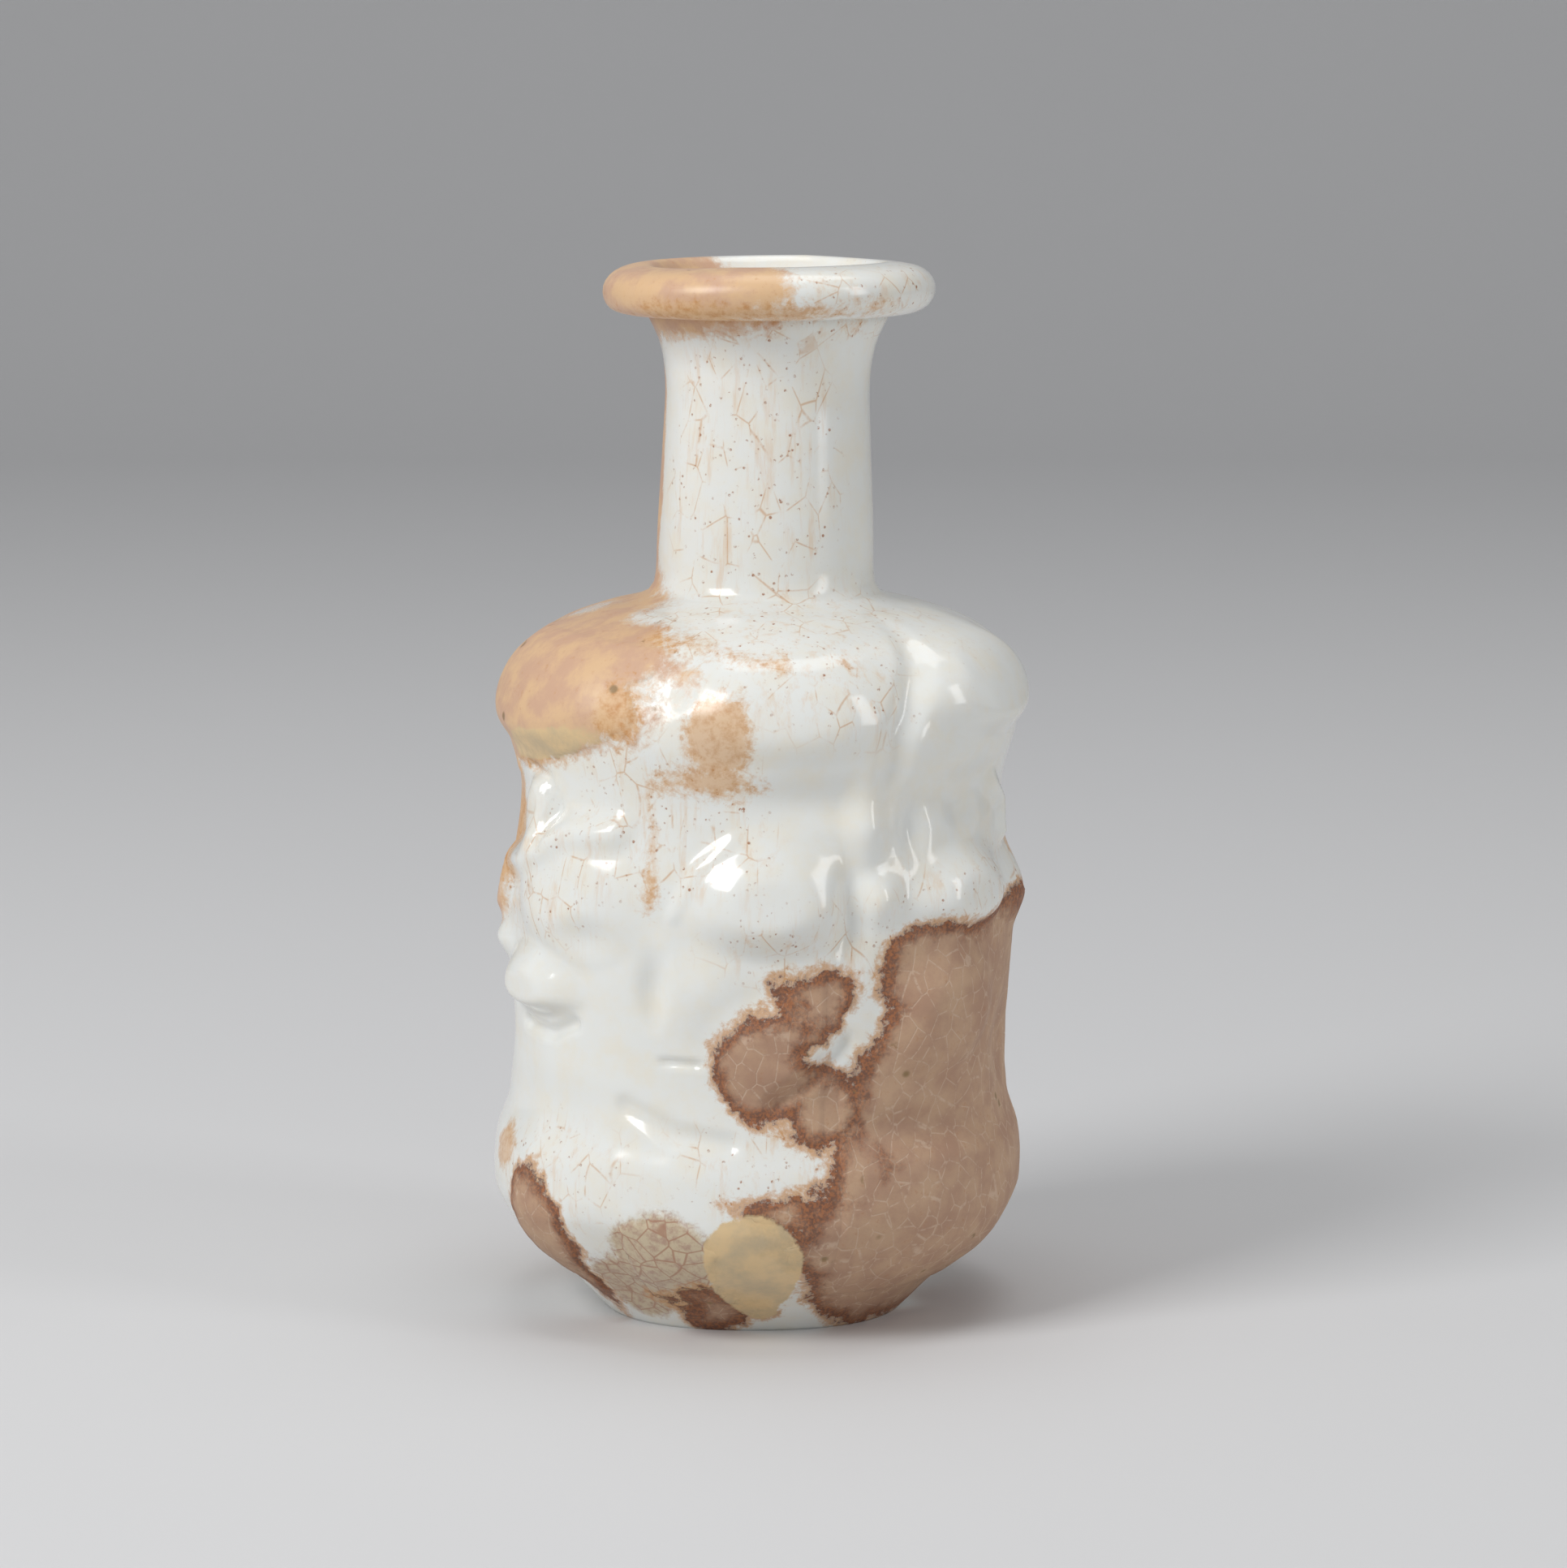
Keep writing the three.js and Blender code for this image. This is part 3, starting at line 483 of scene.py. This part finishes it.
class Finish:
    """A material under construction."""

    def __init__(self, name):
        self.material = bpy.data.materials.new(name)
        self.material.use_nodes = True
        self.tree = self.material.node_tree
        self.tree.nodes.clear()
        self.place = Wire(self, self.make("ShaderNodeTexCoord").outputs["Object"])

    def make(self, kind, settings=None, values=None):
        node = self.tree.nodes.new(kind)
        for key, value in (settings or {}).items():
            setattr(node, key, value)
        for key, value in (values or {}).items():
            socket = next(s for s in node.inputs if key in (s.identifier, s.name) and s.enabled)
            if isinstance(value, Wire):
                self.tree.links.new(value.socket, socket)
            elif isinstance(value, tuple) and socket.type == "RGBA":
                socket.default_value = (*value[:3], 1.0)
            else:
                socket.default_value = value
        return node

    def math(self, operation, *inputs):
        node = self.make("ShaderNodeMath", {"operation": operation})
        for socket, value in zip(node.inputs, inputs):
            if isinstance(value, Wire):
                self.tree.links.new(value.socket, socket)
            else:
                socket.default_value = value
        return Wire(self, node.outputs[0])

    def value(self, name):
        node = self.make("ShaderNodeAttribute", {"attribute_name": name})
        return Wire(self, node.outputs["Fac"])

    def stretched(self, x, y, z):
        node = self.make("ShaderNodeMapping", None, {"Vector": self.place, "Scale": (x, y, z)})
        return Wire(self, node.outputs["Vector"])

    def noise(self, size, detail=5.0, roughness=0.6, place=None, distortion=0.0):
        """Noise from 0 to 1 with grains of about size millimetres."""
        node = self.make("ShaderNodeTexNoise", None, {
            "Vector": place or self.place, "Scale": 1 / (size * MM), "Detail": detail,
            "Roughness": roughness, "Distortion": distortion})
        return Wire(self, node.outputs[0])

    def cracks(self, size, place=None):
        """Distance to the edges of cells of about size millimetres."""
        node = self.make("ShaderNodeTexVoronoi", {"feature": "DISTANCE_TO_EDGE"},
                         {"Vector": place or self.place, "Scale": 1 / (size * MM), "Randomness": 1.0})
        return Wire(self, node.outputs["Distance"])

    def grains(self, size):
        """Distance to scattered points about size millimetres apart."""
        node = self.make("ShaderNodeTexVoronoi", {"feature": "F1"},
                         {"Vector": self.place, "Scale": 1 / (size * MM), "Randomness": 1.0})
        return Wire(self, node.outputs["Distance"])

    def blend(self, factor, first, second):
        node = self.make("ShaderNodeMix", {"data_type": "RGBA"},
                         {"Factor_Float": factor, "A_Color": first, "B_Color": second})
        return Wire(self, next(s for s in node.outputs if s.identifier == "Result_Color"))

    def close(self, shader, values, bump=None, bump_height=0.1):
        """Sets the surface shader, with a bump from a height that runs from 0 to 1."""
        if bump is not None:
            node = self.make("ShaderNodeBump", None, {
                "Height": bump, "Distance": bump_height * MM, "Strength": 1.0})
            values["Normal"] = Wire(self, node.outputs["Normal"])
        node = self.make(shader, None, values)
        output = self.make("ShaderNodeOutputMaterial")
        self.tree.links.new(node.outputs[0], output.inputs["Surface"])
        return self.material


# Colours of the glass and of what lies on it
WHITE = (0.79, 0.80, 0.77)
WHITE_WARM = (0.80, 0.77, 0.68)
TAN_LIGHT = (0.70, 0.45, 0.24)
TAN_PINK = (0.60, 0.36, 0.23)
OCHRE = (0.56, 0.26, 0.07)
RUST = (0.33, 0.11, 0.03)
UMBER = (0.15, 0.055, 0.025)
ROSE_BROWN = (0.40, 0.23, 0.145)
SAND_BROWN = (0.50, 0.32, 0.20)
PALE_HAIR = (0.62, 0.46, 0.34)
BEIGE_FILM = (0.56, 0.44, 0.27)
CREAM_BARE = (0.76, 0.55, 0.29)
OLIVE_BROWN = (0.22, 0.14, 0.05)


def stained_glass(name, crusted):
    """White glass with its stains. Where it is crusted, the same colours lie on a dull dry layer."""
    f = Finish(name)
    coarse = f.noise(3.2, 6, 0.62)
    fine = f.noise(0.8, 6, 0.7)
    dust = f.noise(0.28, 3, 0.6)
    tall = f.noise(1.1, 5, 0.7, f.stretched(1.0, 1.0, 0.12))
    branching = f.noise(1.5, 7, 0.75, None, 1.2)
    fray = (fine - 0.5) * 2.2 + (branching - 0.5) * 2.4

    film = (f.value("tan") + fray).between(-0.5, 0.9)
    orange = (f.value("orange") + fray * 1.1).between(-0.2, 1.1)
    depth = f.value("brown") + fray * 0.9
    brown = depth.between(-0.1, 0.25)
    inner = (f.value("brown") + (coarse - 0.5) * 2.6 + (fine - 0.5) * 1.2).between(0.5, 2.2)
    halo = depth.between(-0.9, -0.1) * (1 - brown)
    beige = (f.value("beige") + fray * 0.7).between(-0.4, 0.8)
    cream = (f.value("cream") + (fine - 0.5) * 0.9).between(-0.1, 0.2)
    near = f.value("speckled").between(-2.5, 1.5)

    colour = f.blend(coarse.between(0.35, 0.75), WHITE, WHITE_WARM)
    cloudy = near * tall.between(0.5, 0.72) * 0.4
    colour = f.blend(cloudy, colour, TAN_LIGHT)
    specks = near * f.grains(0.62).between(0.30, 0.16) * fine.between(0.5, 0.62)
    lines = near * f.cracks(2.6, f.stretched(1, 1, 0.7)).between(0.035, 0.0) * coarse.between(0.45, 0.6)
    colour = f.blend(lines * 0.55, colour, OCHRE)
    colour = f.blend(specks * 0.85, colour, RUST)

    tan = f.blend(coarse.between(0.38, 0.62), TAN_LIGHT, TAN_PINK)
    tan = f.blend(fine.between(0.58, 0.72) * 0.55, tan, OCHRE)
    colour = f.blend(film * 0.94, colour, tan)
    ochre = f.blend(fine.between(0.4, 0.7), TAN_LIGHT, OCHRE)
    colour = f.blend(orange * 0.8, colour, ochre)

    veil = f.blend(fine.between(0.42, 0.66), BEIGE_FILM, ROSE_BROWN)
    netted = f.cracks(2.1, f.stretched(1, 1, 1)).between(0.05, 0.01)
    veil = f.blend(netted * 0.8, veil, RUST)
    colour = f.blend(beige * 0.86, colour, veil)

    colour = f.blend(halo * 0.75, colour, OCHRE)
    fringe = f.blend(dust.between(0.4, 0.62), UMBER, RUST)
    plain = f.blend(coarse.between(0.36, 0.66), ROSE_BROWN, SAND_BROWN)
    plain = f.blend(fine.between(0.55, 0.75) * 0.5, plain, RUST)
    hairs = f.cracks(1.7, f.stretched(1, 1, 0.8)).between(0.045, 0.01) * fine.between(0.4, 0.55)
    plain = f.blend(hairs * 0.55, plain, PALE_HAIR)
    crust = f.blend(inner, fringe, plain)
    colour = f.blend(brown * 0.97, colour, crust)
    colour = f.blend(cream * 0.95, colour, f.blend(coarse.between(0.35, 0.7), CREAM_BARE, BEIGE_FILM))
    pits = f.grains(3.4).between(0.16, 0.07) * coarse.between(0.5, 0.56)
    covered = f.math("MAXIMUM", f.math("MAXIMUM", film, brown), beige)
    colour = f.blend(pits * covered * 0.8, colour, OLIVE_BROWN)

    dry = f.math("MAXIMUM", brown * (1 - cream), film * 0.55)
    rough = 0.10 + fine * 0.06 + dry * (0.34 + 0.16 * fine) + orange * 0.12
    height = 0.55 * dry + 0.3 * dry * fine + 0.15 * coarse - 0.35 * pits * covered - 0.2 * hairs * brown
    if crusted:
        rough = rough + 0.08
    return f.close("ShaderNodeBsdfPrincipled", {
        "Base Color": colour, "Roughness": rough, "IOR": 1.5,
        "Subsurface Weight": 0.0 if crusted else 0.12, "Subsurface Scale": 1.2 * MM,
        "Subsurface Radius": (1.0, 0.85, 0.7),
    }, height, 0.09 if crusted else 0.05)


def plain_surface(name, colour):
    f = Finish(name)
    shade = f.blend(f.noise(90.0, 3), colour, tuple(c * 0.985 for c in colour))
    return f.close("ShaderNodeBsdfPrincipled", {"Base Color": shade, "Roughness": 0.75})


def make_vessel():
    """The whole glass wall in one skin: foot, body, neck, rim, mouth, bore and cavity."""
    outside = np.arange(AROUND) * 360.0 / AROUND
    inside = np.arange(AROUND_INSIDE) * 360.0 / AROUND_INSIDE
    base, body = base_outline(BASE_ROWS), body_outline(BODY_ROWS)
    outer = np.concatenate([base[:-1], body])
    blown = wall(outer, outside, waviness=WAVINESS)
    blown[0, :, 2] = 0.0
    neck = turned_rows(neck_outline(NECK_ROWS)[1:-1], outside)
    rim = rim_outline(RIM_ROWS)
    rolled = turned_rows(rim[:-1], outside, RIM_WAVE)
    dish = [(HOLLOW_RADIUS * s, HOLLOW_DEPTH * (1 - s ** 3)) for s in (0.25, 0.5, 0.75, 1)]
    hollow = turned_rows(ring_rows(dish), inside)
    bore = turned_rows(ring_rows([(BORE_RADIUS, z) for z in np.linspace(NECK_TOP_Z, NECK_ROOT_Z, 9)]), inside)
    cavity_rows = body_outline(INSIDE_ROWS)[::-1][2:]
    cavity = wall(cavity_rows, inside, BODY_WALL, INNER_RELIEF)
    lower = wall(base_outline(10)[::-1][1:6], inside, BODY_WALL, INNER_RELIEF)
    floor_radius = FOOT_RADIUS - BODY_WALL
    floor = turned_rows(ring_rows([(floor_radius, FLOOR_THICKNESS + FOOT_ROUND / 2),
                                   (floor_radius * 0.8, FLOOR_THICKNESS),
                                   (floor_radius * 0.4, FLOOR_THICKNESS)]), inside)
    rings = [np.array([[axis_at(0), AXIS_Y, HOLLOW_DEPTH]])]
    for block in (hollow, blown, neck, rolled, bore, cavity, lower, floor):
        rings += list(block)
    rings.append(np.array([[axis_at(0), AXIS_Y, FLOOR_THICKNESS]]))
    points, faces = join_rings(rings)
    vessel = piece("glass_vessel", points, faces, stained_glass("stained_white_glass", False), stains(points))
    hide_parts("base_cup", "body_wall", "neck_tube", "rim_collar")
    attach(vessel, "root")
    return vessel


def make_crust(node, kind, azimuths, heights, thickness, material):
    """A thin flaking layer on the glass. Its edge thins out and dips under the glass."""
    step = 0.3
    columns = int((azimuths[1] - azimuths[0]) * math.radians(24.0) / step)
    azimuth = np.linspace(azimuths[0], azimuths[1], columns)
    rows = np.concatenate([base_outline(BASE_ROWS)[:-1], body_outline(BODY_ROWS)])
    rows = rows[(rows[:, 1] > heights[0]) & (rows[:, 1] < heights[1])]
    glass = wall(rows, azimuth, waviness=WAVINESS)
    normal = np.cross(np.gradient(glass, axis=1), np.gradient(glass, axis=0))
    normal /= np.linalg.norm(normal, axis=-1, keepdims=True)
    values = stains(glass)
    side = np.minimum(azimuth - azimuths[0], azimuths[1] - azimuth)[None, :] * math.radians(24.0)
    end = np.minimum(rows[:, 1] - heights[0], heights[1] - rows[:, 1])[:, None]
    depth = np.maximum.reduce([values[name] for name in kind]) - 0.25
    depth = depth + 1.4 * (cloud(glass, 1.1, 3) - 0.5)
    depth = np.minimum(depth, np.minimum(side, end) - 0.5)
    body = thickness * (0.75 + 0.5 * cloud(glass, 1.6, 3))
    lift = lerp(-0.06, body, smoothstep(depth, -0.1, 0.55))
    top = glass + normal * lift[..., None]
    under = glass - normal * 0.14
    kept = np.maximum.reduce([depth[:-1, :-1], depth[1:, :-1], depth[:-1, 1:], depth[1:, 1:]]) > -0.3
    kept[[0, -1], :] = False
    kept[:, [0, -1]] = False
    count = depth.size
    index = np.arange(count).reshape(depth.shape)
    faces = []
    for i, j in zip(*np.nonzero(kept)):
        a, b, c, d = index[i, j], index[i, j + 1], index[i + 1, j + 1], index[i + 1, j]
        faces.append((a, b, c, d))
        faces.append((d + count, c + count, b + count, a + count))
        for other, p, q in ((kept[i - 1, j], a, b), (kept[i, j + 1], b, c),
                            (kept[i + 1, j], c, d), (kept[i, j - 1], d, a)):
            if not other:
                faces.append((q, p, p + count, q + count))
    used = np.unique(np.array([i for face in faces for i in face]))
    renumbered = np.zeros(2 * count, int)
    renumbered[used] = np.arange(len(used))
    points = np.concatenate([top.reshape(-1, 3), under.reshape(-1, 3)])[used]
    faces = [tuple(renumbered[list(face)]) for face in faces]
    both = {key: np.concatenate([value.ravel(), value.ravel()])[used] for key, value in values.items()}
    layer = piece(node + "_layer", points, faces, material, both)
    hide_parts(node)
    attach(layer, "root")
    return layer


make_vessel()
crust_material = stained_glass("weathering_crust", True)
make_crust("crust_lower_right", ["brown"], (17, 118), (3.4, 41.0), 0.2, crust_material)
make_crust("crust_middle", ["brown"], (-12, 16.6), (17.0, 36.5), 0.17, crust_material)
make_crust("crust_base_left", ["brown"], (-76, -33), (2.6, 17.0), 0.2, crust_material)
make_crust("crust_base_front", ["beige", "brown"], (-32, 14), (2.6, 15.0), 0.14, crust_material)
make_crust("crust_shoulder_left", ["tan"], (-104, -20), (49.0, 63.6), 0.14, crust_material)


def make_stage():
    """A pale floor that runs back and curves up into a backdrop."""
    profile = [(-2.5, 0.0), (0.9, 0.0)]
    for turn in np.linspace(0, 90, 19):
        angle = math.radians(turn)
        profile.append((0.9 + 0.5 * math.sin(angle), 0.5 - 0.5 * math.cos(angle)))
    profile.append((1.4, 2.6))
    points = np.array([(x * 1000, y * 1000, z * 1000) for y, z in profile for x in (-2.6, 2.6)], float)
    faces = [(2 * i, 2 * i + 1, 2 * i + 3, 2 * i + 2) for i in range(len(profile) - 1)]
    floor = piece("studio_floor", points, faces, plain_surface("pale_paper", (0.66, 0.66, 0.665)))


def make_light(name, place, size, watts, warmth=(1.0, 1.0, 1.0)):
    data = bpy.data.lights.new(name, "AREA")
    data.shape = "RECTANGLE"
    data.size, data.size_y = size
    data.energy = watts
    data.color = warmth
    lamp = bpy.data.objects.new(name, data)
    lamp.location = place
    lamp.rotation_euler = (Vector((0, 0, 0.05)) - Vector(place)).to_track_quat("-Z", "Y").to_euler()
    bpy.context.scene.collection.objects.link(lamp)


def make_camera():
    """A long lens a little above the shoulder, tipped down as in the photograph."""
    data = bpy.data.cameras.new("camera")
    data.sensor_width = 36.0
    data.sensor_fit = "HORIZONTAL"
    data.lens = 121.3
    camera = bpy.data.objects.new("camera", data)
    camera.location = (0.0024, -0.480, 0.120)
    camera.rotation_euler = (math.radians(90 - 8.53), 0, 0)
    bpy.context.scene.collection.objects.link(camera)
    bpy.context.scene.camera = camera


def make_world():
    world = bpy.data.worlds.new("soft_room")
    bpy.context.scene.world = world
    world.use_nodes = True
    tree = world.node_tree
    tree.nodes.clear()
    rays = tree.nodes.new("ShaderNodeLightPath")
    seen = tree.nodes.new("ShaderNodeMath")
    seen.operation = "MAXIMUM"
    tree.links.new(rays.outputs["Is Camera Ray"], seen.inputs[0])
    tree.links.new(rays.outputs["Is Glossy Ray"], seen.inputs[1])
    strength = tree.nodes.new("ShaderNodeMapRange")
    strength.inputs["To Min"].default_value = 0.34
    strength.inputs["To Max"].default_value = 0.6
    tree.links.new(seen.outputs[0], strength.inputs["Value"])
    sky = tree.nodes.new("ShaderNodeBackground")
    sky.inputs["Color"].default_value = (0.97, 0.98, 1.0, 1.0)
    tree.links.new(strength.outputs["Result"], sky.inputs["Strength"])
    output = tree.nodes.new("ShaderNodeOutputWorld")
    tree.links.new(sky.outputs[0], output.inputs["Surface"])


make_stage()
make_light("key_left", (-0.50, -0.42, 0.55), (0.34, 0.34), 4.2)
make_light("fill_right", (0.62, -0.30, 0.30), (0.16, 0.5), 1.0)
make_light("top_soft", (0.05, 0.10, 0.80), (0.5, 0.5), 1.6)
make_camera()
make_world()
bpy.context.scene.view_settings.view_transform = "Standard"
